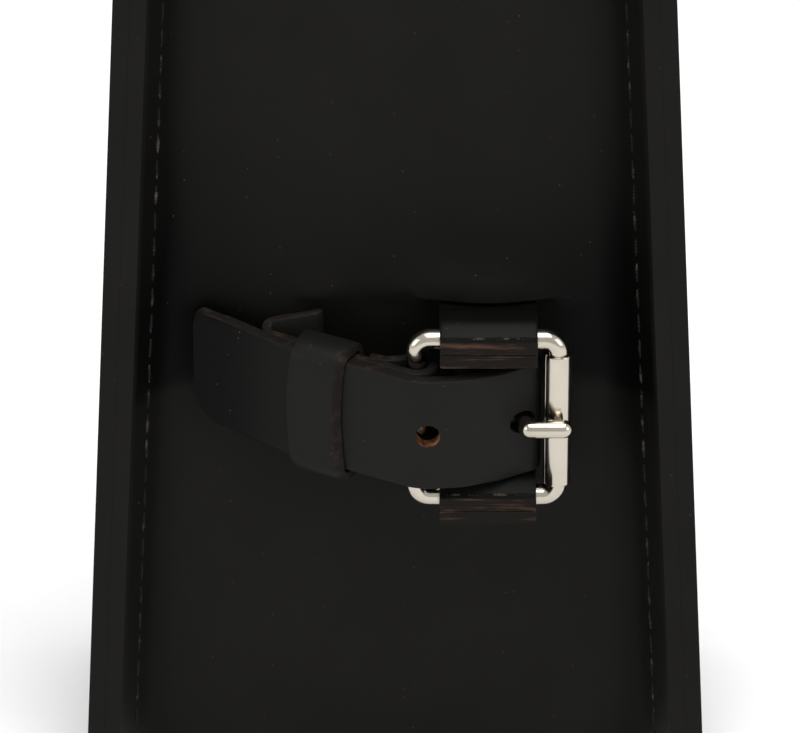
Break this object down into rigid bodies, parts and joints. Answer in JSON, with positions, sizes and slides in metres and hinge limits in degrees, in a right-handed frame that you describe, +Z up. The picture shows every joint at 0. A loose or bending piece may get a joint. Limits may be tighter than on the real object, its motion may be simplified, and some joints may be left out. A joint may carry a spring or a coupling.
{
  "type": "bag side wall with buckled strap",
  "caption": "Tapered leather bag side wall with flared sewn rims and a roller-buckle strap threaded through slots, held by a keeper and two hanger tabs.",
  "frame": {"origin": "middle of the lower cut end, across the wall, on the outer face of its floor", "axes": "+Z up along the wall, +X across it towards the roller, +Y into the bag, so the buckle faces -Y"},
  "size_m": [0.1184, 0.0571, 0.17],
  "materials": {
    "wall_leather": "smooth satin black",
    "strap_leather": "smooth satin black, raw brown edges",
    "lining_leather": "raw flesh side",
    "thread": "waxed black thread",
    "nickel": "polished nickel plate"
  },
  "bodies": {
    "wall": {"side_wall": "wall_leather", "left_panel": "wall_leather", "right_panel": "wall_leather", "backing_patch": "lining_leather", "left_seam_thread": "thread", "right_seam_thread": "thread", "chape_anchor_thread": "thread", "billet_anchor_thread": "thread", "chape_fold_thread": "thread", "top_tab_thread": "thread", "bottom_tab_thread": "thread", "billet_strap": "strap_leather", "chape_strap": "strap_leather", "top_tab_outer_leaf": "strap_leather", "top_tab_inner_leaf": "strap_leather", "bottom_tab_outer_leaf": "strap_leather", "bottom_tab_inner_leaf": "strap_leather", "buckle_frame": "nickel"},
    "keeper": {"keeper_loop": "strap_leather", "keeper_thread": "thread"},
    "roller": {"buckle_roller": "nickel"},
    "prong": {"buckle_prong": "nickel"}
  },
  "joints": [
    {"name": "prong_pivot", "type": "hinge", "parent": "wall", "child": "prong", "pos_m": [0.0039, -0.0115, 0.078], "axis": [0, 0, -1], "range_deg": [0, 3]},
    {"name": "roller_spin", "type": "hinge", "parent": "wall", "child": "roller", "pos_m": [0.0302, -0.0115, 0.078], "axis": [0, 0, 1], "continuous": true},
    {"name": "keeper_slide", "type": "slide", "parent": "wall", "child": "keeper", "axis": [-0.9174, 0.3894, 0.0826], "range_m": [-0.0015, 0.0005]}
  ]
}
